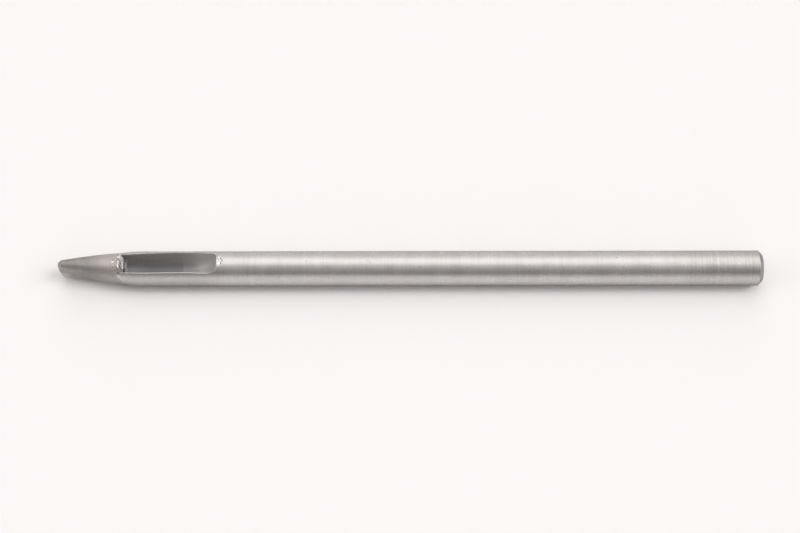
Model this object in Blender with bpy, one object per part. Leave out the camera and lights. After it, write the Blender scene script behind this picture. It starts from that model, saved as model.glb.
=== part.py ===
"""Slot punch: a round shank, a hollow cutting nose, and the weld bead that joins them.

Metres, +Z up. The punch lies along X with its window facing up, its cutting edge at -X and its striking face
at +X. The origin is on the surface that it lies on, below the middle of its length.
"""

import math

import bmesh
import bpy

# Whole punch. Positions along it are measured from the cutting edge, heights from the axis of the shank.
PUNCH_LENGTH = 0.160
SHANK_DIAMETER = 0.008
STRIKING_CHAMFER = 0.0009

# Slot mouth: the hole that it cuts, the flat left on its cutting edge, and the bevel outside that edge.
SLOT_LENGTH = 0.005
SLOT_WIDTH = 0.001
EDGE_LAND = 0.00006
BEVEL_LENGTH = 0.0008
MOUTH_HEIGHT = 0.0066
MOUTH_THICKNESS = 0.0020

# Nose: its length back to the joint, how far inside the shank's outline it still is there, and its hollow, which
# is as tight as the slot over a short land and then widens on each side, so that the waste runs free.
NOSE_LENGTH = 0.0137
JOINT_SIDE_INSET = 0.00055
JOINT_TOP_INSET = 0.00020
SLOT_LAND_LENGTH = 0.0020
HOLLOW_SIDE_RELIEF = 0.0013
HOLLOW_END_RELIEF = 0.0002

# Slot milled into the shank: its width, the metal left under it, its rear end and the cutter that leaves it.
WINDOW_WIDTH = 0.0048
FLOOR_WALL = 0.0012
WINDOW_END = 0.0360
SLOT_CUTTER_RADIUS = 0.0070

# Weld: the open root between the two pieces, the groove round it, and on the window's side a wider groove for
# the pool of the bead, which goes down until only a thin wall is left over the hollow.
ROOT_GAP = 0.0001
GROOVE_DEPTH = 0.0006
GROOVE_REACH = 0.0006
POOL_ROOT_WALL = 0.0002
POOL_FRONT_REACH = 0.0017
POOL_REAR_REACH = 0.0012
POOL_HALF_ANGLE = math.radians(52)
WELD_CLEARANCE = 0.0001

# Flat facets round each section. Four divides their number, so that one of them lies on the surface below. That
# one is hollow along its middle by a hair, so that the punch stands on both of its edges.
SIDES = 32
FOOT_ANGLE = 1.5 * math.pi
FOOT_RELIEF = 0.00001
FLOOR_SIDES = 12
RAMP_STEPS = 8
NOSE_STEPS = 6
EASE_STEPS = 5
OVERCUT = 0.001

SHANK_RADIUS = SHANK_DIAMETER / 2
JOINT_HALF_THICKNESS = SHANK_RADIUS - JOINT_SIDE_INSET
JOINT_HALF_HEIGHT = SHANK_RADIUS - JOINT_TOP_INSET
HOLLOW_HALF_WIDTH = SLOT_WIDTH / 2 + HOLLOW_SIDE_RELIEF
HOLLOW_HALF_HEIGHT = SLOT_LENGTH / 2 + HOLLOW_END_RELIEF
POOL_DEPTH = JOINT_HALF_HEIGHT - HOLLOW_HALF_HEIGHT - POOL_ROOT_WALL
SIDE_SLOPE = (JOINT_HALF_THICKNESS - MOUTH_THICKNESS / 2) / (NOSE_LENGTH - BEVEL_LENGTH)
EASE_LENGTH = 2 * JOINT_SIDE_INSET / SIDE_SLOPE


def clear_scene():
    for obj in list(bpy.data.objects):
        bpy.data.objects.remove(obj, do_unlink=True)


def steel(name, colour, roughness):
    material = bpy.data.materials.new(name)
    material.use_nodes = True
    shader = material.node_tree.nodes["Principled BSDF"]
    shader.inputs["Base Color"].default_value = (*colour, 1.0)
    shader.inputs["Roughness"].default_value = roughness
    shader.inputs["Metallic"].default_value = 1.0
    return material


def add_object(name, mesh_builder, axis, material=None):
    """Turns a bmesh into an object that is placed by the punch's axis."""
    bmesh.ops.recalc_face_normals(mesh_builder, faces=mesh_builder.faces[:])
    mesh = bpy.data.meshes.new(name)
    mesh_builder.to_mesh(mesh)
    mesh_builder.free()
    mesh.shade_smooth()
    mesh.set_sharp_from_angle(angle=math.radians(30))
    obj = bpy.data.objects.new(name, mesh)
    if material:
        mesh.materials.append(material)
    obj.parent = axis
    bpy.context.scene.collection.objects.link(obj)
    return obj


def loft(loops, closed=False):
    """Joins loops of equally many points with faces. An open loft gets a flat cap at each end."""
    builder = bmesh.new()
    rings = [[builder.verts.new(point) for point in loop] for loop in loops]
    pairs = list(zip(rings, rings[1:]))
    if closed:
        pairs.append((rings[-1], rings[0]))
    else:
        builder.faces.new(rings[0])
        builder.faces.new(rings[-1])
    for ring, following in pairs:
        for i in range(len(ring)):
            j = (i + 1) % len(ring)
            builder.faces.new((ring[i], ring[j], following[j], following[i]))
    return builder


def facet_angles():
    corners = [(i + 0.5) * math.tau / SIDES for i in range(SIDES)]
    return sorted([*corners, FOOT_ANGLE])


def section_point(half_thickness, half_height, angle):
    """A point of an upright oblong section with round ends, whose end facets lie on its true height."""
    if angle == FOOT_ANGLE:
        return (0.0, FOOT_RELIEF - half_height)
    corner_radius = half_thickness / math.cos(math.pi / SIDES)
    rise = math.copysign(half_height - half_thickness, math.sin(angle))
    return (corner_radius * math.cos(angle), rise + corner_radius * math.sin(angle))


def section(x, half_thickness, half_height):
    points = (section_point(half_thickness, half_height, angle) for angle in facet_angles())
    return [(x, y, z) for y, z in points]


def outer_size(x):
    """Half thickness and half height of the ground outside at a distance from the cutting edge."""
    if x <= NOSE_LENGTH:
        part = (x - BEVEL_LENGTH) / (NOSE_LENGTH - BEVEL_LENGTH)
        thickness = MOUTH_THICKNESS / 2 + part * (JOINT_HALF_THICKNESS - MOUTH_THICKNESS / 2)
        height = MOUTH_HEIGHT / 2 + part * (JOINT_HALF_HEIGHT - MOUTH_HEIGHT / 2)
        return thickness, height
    left = max(0.0, 1 - (x - NOSE_LENGTH) / EASE_LENGTH) ** 2
    return SHANK_RADIUS - left * JOINT_SIDE_INSET, SHANK_RADIUS - left * JOINT_TOP_INSET


def pool_share(angle):
    """How much of the wide groove there is at an angle round the axis: 1 on top, 0 past its half angle."""
    from_top = abs(angle - math.pi / 2)
    if from_top >= POOL_HALF_ANGLE:
        return 0.0
    return math.cos(from_top / POOL_HALF_ANGLE * math.pi / 2) ** 0.5


def groove_size(angle):
    """Depth of the weld groove and its reach forwards and backwards at an angle round the axis."""
    share = pool_share(angle)
    depth = GROOVE_DEPTH + share * (POOL_DEPTH - GROOVE_DEPTH)
    front = GROOVE_REACH + share * (POOL_FRONT_REACH - GROOVE_REACH)
    rear = GROOVE_REACH + share * (POOL_REAR_REACH - GROOVE_REACH)
    return depth, front, rear


def outer_point(x, angle, depth=0.0):
    """A point that lies a depth below the ground outside."""
    thickness, height = outer_size(x)
    y, z = section_point(thickness - depth, height - depth, angle)
    return (x, y, z)


def cutting_nose(axis, material):
    outside = [section(0.0, SLOT_WIDTH / 2 + EDGE_LAND, SLOT_LENGTH / 2 + EDGE_LAND)]
    straight = NOSE_LENGTH - POOL_FRONT_REACH - BEVEL_LENGTH
    for step in range(NOSE_STEPS):
        x = BEVEL_LENGTH + straight * step / NOSE_STEPS
        outside.append(section(x, *outer_size(x)))
    outside.append([outer_point(NOSE_LENGTH - groove_size(angle)[1], angle) for angle in facet_angles()])
    outside.append([outer_point(NOSE_LENGTH, angle, groove_size(angle)[0]) for angle in facet_angles()])
    hollow = [
        section(NOSE_LENGTH, HOLLOW_HALF_WIDTH, HOLLOW_HALF_HEIGHT),
        section(SLOT_LAND_LENGTH, SLOT_WIDTH / 2, SLOT_LENGTH / 2),
        section(0.0, SLOT_WIDTH / 2, SLOT_LENGTH / 2),
    ]
    return add_object("cutting_nose", loft(outside + hollow, closed=True), axis, material)


def slot_cutter(axis):
    """The path of a round-edged milling cutter: in from the front end, then up along the cutter's own arc."""
    half_width = WINDOW_WIDTH / 2
    floor = FLOOR_WALL - SHANK_RADIUS
    top = SHANK_RADIUS + SLOT_CUTTER_RADIUS + OVERCUT
    stations = [(NOSE_LENGTH - OVERCUT, floor)]
    for step in range(RAMP_STEPS + 1):
        turn = math.pi / 2 * step / RAMP_STEPS
        x = WINDOW_END - SLOT_CUTTER_RADIUS * (1 - math.sin(turn))
        stations.append((x, floor + SLOT_CUTTER_RADIUS * (1 - math.cos(turn))))
    loops = []
    for x, lowest in stations:
        loop = [(x, half_width, top)]
        for i in range(FLOOR_SIDES + 1):
            angle = -math.pi * i / FLOOR_SIDES
            loop.append((x, half_width * math.cos(angle), lowest + half_width * (1 + math.sin(angle))))
        loop.append((x, -half_width, top))
        loops.append(loop)
    cutter = add_object("slot_cutter", loft(loops), axis)
    cutter.hide_render = True
    cutter.display_type = "WIRE"
    return cutter


def shank(axis, material):
    front = NOSE_LENGTH + ROOT_GAP
    loops = [
        [outer_point(front, angle, groove_size(angle)[0]) for angle in facet_angles()],
        [outer_point(front + groove_size(angle)[2], angle) for angle in facet_angles()],
    ]
    eased = NOSE_LENGTH + EASE_LENGTH - front - POOL_REAR_REACH
    for step in range(1, EASE_STEPS + 1):
        x = front + POOL_REAR_REACH + eased * step / EASE_STEPS
        loops.append(section(x, *outer_size(x)))
    face_radius = SHANK_RADIUS - STRIKING_CHAMFER
    loops.append(section(PUNCH_LENGTH - STRIKING_CHAMFER, SHANK_RADIUS, SHANK_RADIUS))
    loops.append(section(PUNCH_LENGTH, face_radius, face_radius))
    bar = add_object("shank", loft(loops), axis, material)
    cut = bar.modifiers.new("milled_slot", "BOOLEAN")
    cut.operation = "DIFFERENCE"
    cut.solver = "EXACT"
    cut.object = slot_cutter(axis)
    return bar


def weld_bead(axis, material):
    """A ring in the groove. Over the window's end it swells into a pool, behind which there is no shank."""
    loops = []
    for angle in facet_angles():
        depth, front, rear = groove_size(angle)
        front_face = math.hypot(front, depth)
        rear_face = math.hypot(rear, depth)
        root_depth = depth - WELD_CLEARANCE * max(front_face / front, rear_face / rear)
        front_toe = NOSE_LENGTH - front + WELD_CLEARANCE * (front_face + front / 2) / depth
        rear_toe = NOSE_LENGTH + ROOT_GAP + rear - WELD_CLEARANCE * (rear_face + rear / 2) / depth
        loops.append([
            outer_point(NOSE_LENGTH + ROOT_GAP / 2, angle, root_depth),
            outer_point(front_toe, angle, WELD_CLEARANCE / 2),
            outer_point(NOSE_LENGTH, angle),
            outer_point(rear_toe, angle, WELD_CLEARANCE / 2),
        ])
    return add_object("weld_bead", loft(loops, closed=True), axis, material)


def main():
    clear_scene()
    axis = bpy.data.objects.new("punch_axis", None)
    axis.location = (-PUNCH_LENGTH / 2, 0.0, SHANK_RADIUS)
    bpy.context.scene.collection.objects.link(axis)
    shank(axis, steel("shank_steel", (0.56, 0.55, 0.54), 0.30))
    cutting_nose(axis, steel("nose_steel", (0.40, 0.39, 0.38), 0.42))
    weld_bead(axis, steel("weld_steel", (0.68, 0.66, 0.63), 0.25))


main()
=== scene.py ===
"""Looks of the slot punch: meshes of its shank, nose and weld, their steel, a floor, light and a camera.

Metres, +Z up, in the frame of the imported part. Places along the punch are measured from its cutting edge,
heights from the axis of its shank, and angles round it from the top towards +Y.
"""

import math

import bmesh
import bpy
from mathutils import Matrix, Vector, noise


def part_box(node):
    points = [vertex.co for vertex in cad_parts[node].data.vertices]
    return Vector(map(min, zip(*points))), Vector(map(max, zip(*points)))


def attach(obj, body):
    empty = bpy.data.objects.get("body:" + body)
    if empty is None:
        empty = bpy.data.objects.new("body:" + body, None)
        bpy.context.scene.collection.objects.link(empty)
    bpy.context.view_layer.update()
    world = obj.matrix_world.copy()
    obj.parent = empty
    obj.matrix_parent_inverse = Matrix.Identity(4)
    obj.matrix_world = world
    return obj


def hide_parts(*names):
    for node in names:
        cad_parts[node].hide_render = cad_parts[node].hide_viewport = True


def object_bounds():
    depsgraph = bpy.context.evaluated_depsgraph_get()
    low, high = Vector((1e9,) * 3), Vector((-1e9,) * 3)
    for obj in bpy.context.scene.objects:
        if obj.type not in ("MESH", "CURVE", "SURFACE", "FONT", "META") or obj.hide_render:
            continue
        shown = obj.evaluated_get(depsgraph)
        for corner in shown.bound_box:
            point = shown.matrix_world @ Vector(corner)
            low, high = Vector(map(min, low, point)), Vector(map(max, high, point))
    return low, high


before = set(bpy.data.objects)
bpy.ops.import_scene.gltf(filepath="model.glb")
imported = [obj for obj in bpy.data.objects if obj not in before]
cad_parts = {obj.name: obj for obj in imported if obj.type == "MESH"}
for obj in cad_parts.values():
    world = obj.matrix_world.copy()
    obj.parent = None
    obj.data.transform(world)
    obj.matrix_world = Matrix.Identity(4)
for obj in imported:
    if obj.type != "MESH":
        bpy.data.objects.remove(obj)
cad_low, cad_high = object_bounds()

MM = 0.001

# Sizes that the frame gives.
shank_low, shank_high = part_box("shank")
nose_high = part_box("cutting_nose")[1]
EDGE_X = cad_low.x
PUNCH_LENGTH = cad_high.x - cad_low.x
SHANK_RADIUS = (shank_high.z - shank_low.z) / 2
AXIS_Z = shank_low.z + SHANK_RADIUS
JOINT_X = nose_high.x - EDGE_X
SHANK_START = shank_low.x - EDGE_X

# Cutting nose: the slot that it cuts, its edge and bevel, its hollow, and the groove at the joint.
SLOT_LENGTH = 5.0 * MM
SLOT_WIDTH = 1.0 * MM
SLOT_LAND_LENGTH = 2.0 * MM
EDGE_LAND = 0.05 * MM
BEVEL_LENGTH = 0.8 * MM
MOUTH_HEIGHT = 6.6 * MM
MOUTH_THICKNESS = 2.0 * MM
JOINT_SIDE_INSET = 0.55 * MM
JOINT_TOP_INSET = 0.20 * MM
HOLLOW_HALF_WIDTH = 1.8 * MM
HOLLOW_HALF_HEIGHT = 2.7 * MM
GROOVE_DEPTH = 0.25 * MM
GROOVE_REACH = 0.25 * MM

# What grinding by hand and use have done to the nose: it leans, bulges and is worn at its lower corner.
NOSE_LEAN = 0.20 * MM
LEAN_START = 0.15
LEAN_SPAN = 0.75
NOSE_BULGE = 0.12 * MM
BULGE_POWER = 1.6
WORN_CORNER = 0.20 * MM
WORN_END_X = 1.2 * MM
GRIND_DEPTH = 0.022 * MM
GRIND_SCALE = Vector((260, 420, 420))
FINE_GRIND_DEPTH = 0.006 * MM
FINE_GRIND_SCALE = Vector((900, 500, 500))

# Window in the shank, cut by a disc with rounded corners.
WINDOW_HALF_WIDTH = 2.4 * MM
FLOOR_Z = -2.8 * MM
DISC_RADIUS = 7.0 * MM
DISC_X = 29.0 * MM
DISC_Z = FLOOR_Z + DISC_RADIUS
DISC_CORNER = 1.2 * MM
CHANNEL_CORNER = 1.8 * MM

# Rim of the window: its broken edge, wider where it was filed on the -Y side, and its uneven sides.
RIM_BREAK = 0.10 * MM
FILED_BREAK = 0.28 * MM
FILED_DROP = 0.17 * MM
FILED_ROUNDING = 0.65
FILED_FADE = 4
RIM_ROUGH = 0.3
REAR_RIM_ROUGH = 0.6
REAR_RIM_INSIDE = 0.3
RIM_END_X = DISC_X + 5.5 * MM
FILE_MARK_DEPTH = 0.03 * MM
FILE_MARKS_PER_MM = 0.9
FILE_MARK_FADE = 8
RIM_SHAPES = {
    # For each side: how far it bows out and the power that moves the bow to the rear, how far its front end
    # is pinched in, and how soon the pinch ends.
    1: (0.32 * MM, 2.2, 0.30 * MM, 2.6),
    -1: (-0.14 * MM, 1.4, 0.20 * MM, 3.2),
}

# Striking end.
CHAMFER = 0.9 * MM
CHAMFER_BREAK = 0.05 * MM
FACE_BREAK = 0.16 * MM

JOINT_HALF_THICKNESS = SHANK_RADIUS - JOINT_SIDE_INSET
JOINT_HALF_HEIGHT = SHANK_RADIUS - JOINT_TOP_INSET
SIDE_SLOPE = (JOINT_HALF_THICKNESS - MOUTH_THICKNESS / 2) / (JOINT_X - BEVEL_LENGTH)
EASE_LENGTH = 2 * JOINT_SIDE_INSET / SIDE_SLOPE


# Small sums


def smooth(value):
    """A value held between 0 and 1, eased at both ends."""
    value = min(max(value, 0.0), 1.0)
    return value * value * (3 - 2 * value)


def mix(a, b, share):
    return a + (b - a) * share


def spaced(first, last, count):
    """Evenly spaced values, both ends included."""
    return [mix(first, last, i / (count - 1)) for i in range(count)]


def from_top(turn):
    """An angle round the punch in degrees, between -180 and 180."""
    return math.degrees(math.remainder(turn, math.tau))


# Outside of the punch


def outer_size(x):
    """Half thickness and half height of the ground outside at a distance from the cutting edge."""
    if x <= JOINT_X:
        share = (x - BEVEL_LENGTH) / (JOINT_X - BEVEL_LENGTH)
        thickness = mix(MOUTH_THICKNESS / 2, JOINT_HALF_THICKNESS, share)
        return thickness, mix(MOUTH_HEIGHT / 2, JOINT_HALF_HEIGHT, share)
    left = max(0.0, 1 - (x - JOINT_X) / EASE_LENGTH) ** 2
    return SHANK_RADIUS - left * JOINT_SIDE_INSET, SHANK_RADIUS - left * JOINT_TOP_INSET


def outer_point(x, turn, rise=0.0):
    """A point outside at an angle, with a rise above the surface."""
    thickness, height = outer_size(x)
    straight = math.copysign(height - thickness, math.cos(turn))
    radius = thickness + rise
    return Vector((x, radius * math.sin(turn), straight + radius * math.cos(turn)))


def rim_width(x, side):
    """Half width of the window at its rim, which isn't quite straight."""
    bow, bow_power, pinch, pinch_speed = RIM_SHAPES[side]
    share = min(max((x - SHANK_START) / (RIM_END_X - SHANK_START), 0.0), 1.0)
    bowed = bow * math.sin(math.pi * share ** bow_power)
    pinched = pinch * smooth(1 - pinch_speed * share)
    marks = FILE_MARK_DEPTH * noise.noise(Vector((x / MM * FILE_MARKS_PER_MM, 3.0 * side, 0.5)))
    fade = smooth(FILE_MARK_FADE * (1 - share))
    return WINDOW_HALF_WIDTH + bowed - pinched + marks * fade


def rim_turn(x, side):
    return math.asin(rim_width(x, side) / outer_size(x)[0])


class Skin:
    """Points and faces of one surface, gathered row by row, with marks that its material reads."""

    def __init__(self):
        self.points = []
        self.faces = []
        self.marks = {}

    def add(self, point, **marks):
        self.points.append(point)
        for name, value in marks.items():
            self.marks.setdefault(name, {})[len(self.points) - 1] = value
        return len(self.points) - 1

    def row(self, points, **marks):
        return [self.add(point, **marks) for point in points]

    def face(self, corners):
        kept = [c for i, c in enumerate(corners) if c not in corners[:i]]
        if len(kept) > 2:
            self.faces.append(kept)

    def strip(self, row, following, closed=False):
        count = len(row) if closed else len(row) - 1
        for i in range(count):
            j = (i + 1) % len(row)
            self.face((row[i], row[j], following[j], following[i]))

    def strips(self, rows, closed=False):
        for row, following in zip(rows, rows[1:]):
            self.strip(row, following, closed)

    def fan(self, row, centre):
        for i in range(len(row)):
            self.face((row[i], row[(i + 1) % len(row)], centre))

    def piece(self, name, material, sharp_angle):
        mesh = bpy.data.meshes.new(name)
        mesh.from_pydata([(p.x + EDGE_X, p.y, p.z + AXIS_Z) for p in self.points], [], self.faces)
        for mark, values in self.marks.items():
            layer = mesh.attributes.new(mark, "FLOAT", "POINT")
            for index, value in values.items():
                layer.data[index].value = value
        builder = bmesh.new()
        builder.from_mesh(mesh)
        bmesh.ops.recalc_face_normals(builder, faces=builder.faces[:])
        builder.to_mesh(mesh)
        builder.free()
        mesh.shade_smooth()
        mesh.set_sharp_from_angle(angle=math.radians(sharp_angle))
        mesh.materials.append(material)
        obj = bpy.data.objects.new(name, mesh)
        bpy.context.scene.collection.objects.link(obj)
        return obj


def bend(start, corner, end, count):
    """Points strictly between start and end on a curve that rounds a corner."""
    points = []
    for i in range(1, count):
        t = i / count
        points.append((1 - t) ** 2 * start + 2 * t * (1 - t) * corner + t * t * end)
    return points


# Shank

OUTER_COLUMNS = 150
FLOOR_COLUMNS = 36
WALL_COLUMNS = 8
WINDOW_ROWS = 60
DISC_ROWS = 24
RIM_STEPS = 4
EASING_RINGS = 39
BAR_RINGS = 129
CHAMFER_STEPS = 5
FACE_BREAK_STEPS = 8
FACE_RINGS = 12
SHANK_SHARP_ANGLE = 40

# Behind the window, the rows follow its rear rim until here.
STRAIGHT_X = 39.0 * MM

# Small unevenness of the ground surface, which lies a little inside the true size and so never stands proud.
SKIN_DEPTH = 0.003 * MM
WEAR_HEIGHT = 0.0013 * MM
WEAR_SCALE = 350

DENTS = [
    # Place along the punch in millimetres, angle from the top in degrees, radius and depth in millimetres.
    (26.2, -50.0, 0.55, 0.030),
    (27.6, -54.0, 0.35, 0.022),
    (23.9, -46.0, 0.40, 0.022),
    (16.7, -52.0, 0.75, 0.055),
    (18.4, -49.0, 0.45, 0.024),
    (31.0, -57.0, 0.40, 0.020),
    (47.5, -38.0, 0.40, 0.020),
    (82.0, -8.0, 0.35, 0.016),
    (101.0, 24.0, 0.45, 0.020),
    (128.0, -40.0, 0.40, 0.018),
    (150.6, 5.0, 0.35, 0.022),
]
DENT_REACH = 2

# Rough metal that the disc left where it came out.
BURR_X = 36.75 * MM
BURR_REACH = 0.95 * MM
BURR_TURN = math.radians(4)
BURR_HALF_WIDTH = 1.45 * MM
BURR_HEIGHT = 0.14 * MM
BURR_EDGE = 1.6
BURR_CELLS_PER_MM = 2.1
BURR_CELL_RISE = 2.2


def disc_reach(y, corner=DISC_CORNER):
    """Distance from the disc's axis to its edge at a distance from its middle plane."""
    past = abs(y) - (WINDOW_HALF_WIDTH - corner)
    if past <= 0:
        return DISC_RADIUS
    return DISC_RADIUS - corner + math.sqrt(max(0.0, corner ** 2 - past ** 2))


def disc_point(y, swing, corner=DISC_CORNER):
    reach = disc_reach(y, corner)
    return Vector((DISC_X + reach * math.sin(swing), y, DISC_Z - reach * math.cos(swing)))


def rim_swing(y):
    """Swing at which the disc's edge comes out through the top of the shank."""
    top = math.sqrt(SHANK_RADIUS ** 2 - y * y)
    return math.acos((DISC_Z - top) / disc_reach(y))


def inner_swing(y):
    """The same, less the broken edge."""
    return rim_swing(y) - RIM_BREAK / disc_reach(y)


def floor_ys():
    """Places across the slot, evenly spread round its corners and floor."""
    corner = (DISC_CORNER + CHANNEL_CORNER) / 2
    flat = WINDOW_HALF_WIDTH - corner
    length = 2 * flat + math.pi * corner
    ys = []
    for along in spaced(-length / 2, length / 2, FLOOR_COLUMNS + 1):
        past = abs(along) - flat
        across = abs(along) if past <= 0 else flat + corner * math.sin(past / corner)
        ys.append(math.copysign(min(across, WINDOW_HALF_WIDTH), along))
    return ys


def window_rows():
    """Places along the window's sides, each with its share of the disc's swing."""
    last_swing = inner_swing(WINDOW_HALF_WIDTH)
    rows = [(x, 0.0) for x in spaced(SHANK_START, DISC_X, WINDOW_ROWS)]
    corner_x = DISC_X + disc_reach(WINDOW_HALF_WIDTH) * math.sin(rim_swing(WINDOW_HALF_WIDTH))
    for share in spaced(0.0, 1.0, DISC_ROWS + 1)[1:]:
        swing = last_swing * share
        x = DISC_X + (corner_x - DISC_X) * math.sin(swing) / math.sin(last_swing)
        rows.append((x, share))
    return rows


def inner_point(x, y, share):
    """A point of the slot, on its straight channel or, past it, on the disc's round end."""
    if share == 0.0:
        return Vector((x, y, DISC_Z - disc_reach(y, CHANNEL_CORNER)))
    return disc_point(y, inner_swing(y) * share, mix(CHANNEL_CORNER, DISC_CORNER, smooth(share)))


def dent_depth(x, turn):
    depth = 0.0
    for place, angle, radius, deep in DENTS:
        along = (x / MM - place) / radius
        if abs(along) < DENT_REACH:
            across = (turn - math.radians(angle)) * SHANK_RADIUS / MM / radius
            depth += deep * MM * math.exp(-2 * (along * along + across * across))
    return depth


def burr(x, turn):
    """Share and height of the rough metal behind the window."""
    along = (x - BURR_X) / BURR_REACH
    across = (turn - BURR_TURN) * SHANK_RADIUS / BURR_HALF_WIDTH
    share = smooth(BURR_EDGE * (1 - math.hypot(along, across)))
    if share == 0.0:
        return 0.0, 0.0
    at = Vector((x, SHANK_RADIUS * turn, 0.0)) / MM
    cells = noise.voronoi(at * BURR_CELLS_PER_MM)[0]
    return share, -share * BURR_HEIGHT * min(1.0, BURR_CELL_RISE * cells[0] ** 2)


def shank_point(x, turn):
    """A point outside, with its wear, dents and burr, and the share of burr there."""
    point = outer_point(x, turn)
    share, height = burr(x, turn)
    wear = WEAR_HEIGHT * noise.noise(point * WEAR_SCALE)
    ridge = wear - dent_depth(x, turn) + height
    inward = Vector((0.0, -math.sin(turn), -math.cos(turn)))
    return point + inward * max(0.0, SKIN_DEPTH - ridge), share


def add_outside(skin, x, turn):
    point, share = shank_point(x, turn)
    return skin.add(point, inside=0.0, rough=share)


def add_window(skin, ys):
    """Rows beside the window: outside from one rim round the bottom to the other, then back through the slot.

    Gives the rows outside, the rows inside, and for each side the rows of its rounded rim.
    """
    outer_rows = []
    inner_rows = []
    rim_rows = {-1: [], 1: []}
    for x, share in window_rows():
        at_rear = share == 1.0
        filed = smooth(FILED_FADE * (1 - share))
        breaks = {-1: mix(RIM_BREAK, FILED_BREAK, filed), 1: RIM_BREAK}
        drops = {-1: mix(RIM_BREAK, FILED_DROP, filed), 1: RIM_BREAK}
        edges = {side: rim_turn(x, side) for side in (-1, 1)}
        first = edges[1] + breaks[1] / SHANK_RADIUS
        last = math.tau - edges[-1] - breaks[-1] / SHANK_RADIUS
        outer = [add_outside(skin, x, turn) for turn in spaced(first, last, OUTER_COLUMNS + 1)]
        walls = {}
        for side, outer_end in ((-1, -1), (1, 0)):
            rim = outer_point(x, side * edges[side])
            foot = inner_point(x, side * WINDOW_HALF_WIDTH, share)
            top = Vector((x, rim.y, rim.z - drops[side]))
            wall = [foot] if at_rear else [top.lerp(foot, i / WALL_COLUMNS) for i in range(WALL_COLUMNS)]
            walls[side] = skin.row(wall, inside=1.0, rough=0.0) * (WALL_COLUMNS // len(wall))
            start = skin.points[outer[outer_end]]
            corner = rim.lerp(start.lerp(wall[0], 0.5), FILED_ROUNDING * filed)
            rounded = bend(start, corner, wall[0], RIM_STEPS)
            rim_rows[side].append(skin.row(rounded, inside=0.0, rough=RIM_ROUGH))
        floor = skin.row([inner_point(x, y, share) for y in ys], inside=1.0, rough=0.0)
        if at_rear:
            floor[0] = walls[-1][0]
            floor[-1] = walls[1][0]
        outer_rows.append(outer)
        inner_rows.append(walls[-1] + floor + walls[1][::-1])
    return outer_rows, inner_rows, rim_rows


def join_window(skin, outer_rows, inner_rows, rim_rows):
    """Faces between the window's rows, and the flat front end of the shank."""
    for i in range(len(outer_rows) - 1):
        skin.strip(outer_rows[i], outer_rows[i + 1])
        skin.strip(inner_rows[i], inner_rows[i + 1])
    for side, outer_end, inner_end in ((-1, -1, 0), (1, 0, -1)):
        bands = [
            [outer[outer_end], *rim, inner[inner_end]]
            for outer, rim, inner in zip(outer_rows, rim_rows[side], inner_rows)
        ]
        skin.strips(bands)
    skin.face(outer_rows[0] + rim_rows[-1][0] + inner_rows[0] + rim_rows[1][0][::-1])


def add_rear_rim(skin, ys, outer, inner, rim_rows):
    """The window's broken rear rim, from its -Y corner to its +Y corner. Gives the points outside it."""
    edges = [(disc_point(y, rim_swing(y)).x, math.asin(y / SHANK_RADIUS)) for y in ys]
    corners = {0: (outer[-1], rim_rows[-1][-1]), len(ys) - 1: (outer[0], rim_rows[1][-1])}
    bands = []
    for k in range(len(ys)):
        if k in corners:
            start, rounded = corners[k]
        else:
            x, turn = edges[k]
            along = edges[k + 1][0] - edges[k - 1][0]
            across = (edges[k + 1][1] - edges[k - 1][1]) * SHANK_RADIUS
            length = math.hypot(along, across)
            x_out = x + RIM_BREAK * across / length
            turn_out = turn - RIM_BREAK * along / length / SHANK_RADIUS
            start = add_outside(skin, x_out, turn_out)
            curve = bend(skin.points[start], outer_point(x, turn), skin.points[inner[k]], RIM_STEPS)
            rounded = skin.row(curve, inside=REAR_RIM_INSIDE, rough=REAR_RIM_ROUGH)
        bands.append([start, *rounded, inner[k]])
    skin.strips(bands)
    return [band[0] for band in bands[1:-1]]


def add_bar(skin, ring):
    """Rings behind the window, of which the first follow its rear rim. Gives the last ring and its angles."""
    starts = [skin.points[i].x for i in ring]
    turns = [math.atan2(skin.points[i].y, skin.points[i].z) for i in ring]
    rings = [ring]
    for share in spaced(0.0, 1.0, EASING_RINGS + 1)[1:]:
        places = [mix(start, STRAIGHT_X, share) for start in starts]
        rings.append([add_outside(skin, x, turn) for x, turn in zip(places, turns)])
    for x in spaced(STRAIGHT_X, PUNCH_LENGTH - CHAMFER - CHAMFER_BREAK, BAR_RINGS + 1)[1:]:
        rings.append([add_outside(skin, x, turn) for turn in turns])
    skin.strips(rings, closed=True)
    return rings[-1], turns


def add_striking_end(skin, ring, turns):
    """The chamfer with broken edges, and the striking face."""
    chamfer_start = Vector((PUNCH_LENGTH - CHAMFER, 0.0, SHANK_RADIUS))
    chamfer_end = Vector((PUNCH_LENGTH, 0.0, SHANK_RADIUS - CHAMFER))
    slope = (chamfer_end - chamfer_start).normalized()
    before = chamfer_start - Vector((CHAMFER_BREAK, 0.0, 0.0))
    upper = chamfer_start + slope * CHAMFER_BREAK
    lower = chamfer_end - slope * FACE_BREAK
    after = chamfer_end + Vector((0.0, 0.0, -FACE_BREAK))
    profile = bend(before, chamfer_start, upper, CHAMFER_STEPS)
    profile += [upper.lerp(lower, i / CHAMFER_STEPS) for i in range(CHAMFER_STEPS + 1)]
    profile += bend(lower, chamfer_end, after, FACE_BREAK_STEPS)
    face_radius = SHANK_RADIUS - CHAMFER - FACE_BREAK
    profile += [Vector((PUNCH_LENGTH, 0.0, face_radius * (1 - i / FACE_RINGS))) for i in range(FACE_RINGS)]
    rings = [ring]
    for mark in profile:
        points = [Vector((mark.x, mark.z * math.sin(turn), mark.z * math.cos(turn))) for turn in turns]
        rings.append(skin.row(points, inside=0.0, rough=0.0))
    skin.strips(rings, closed=True)
    skin.fan(rings[-1], skin.add(Vector((PUNCH_LENGTH, 0.0, 0.0)), inside=0.0, rough=0.0))


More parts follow.
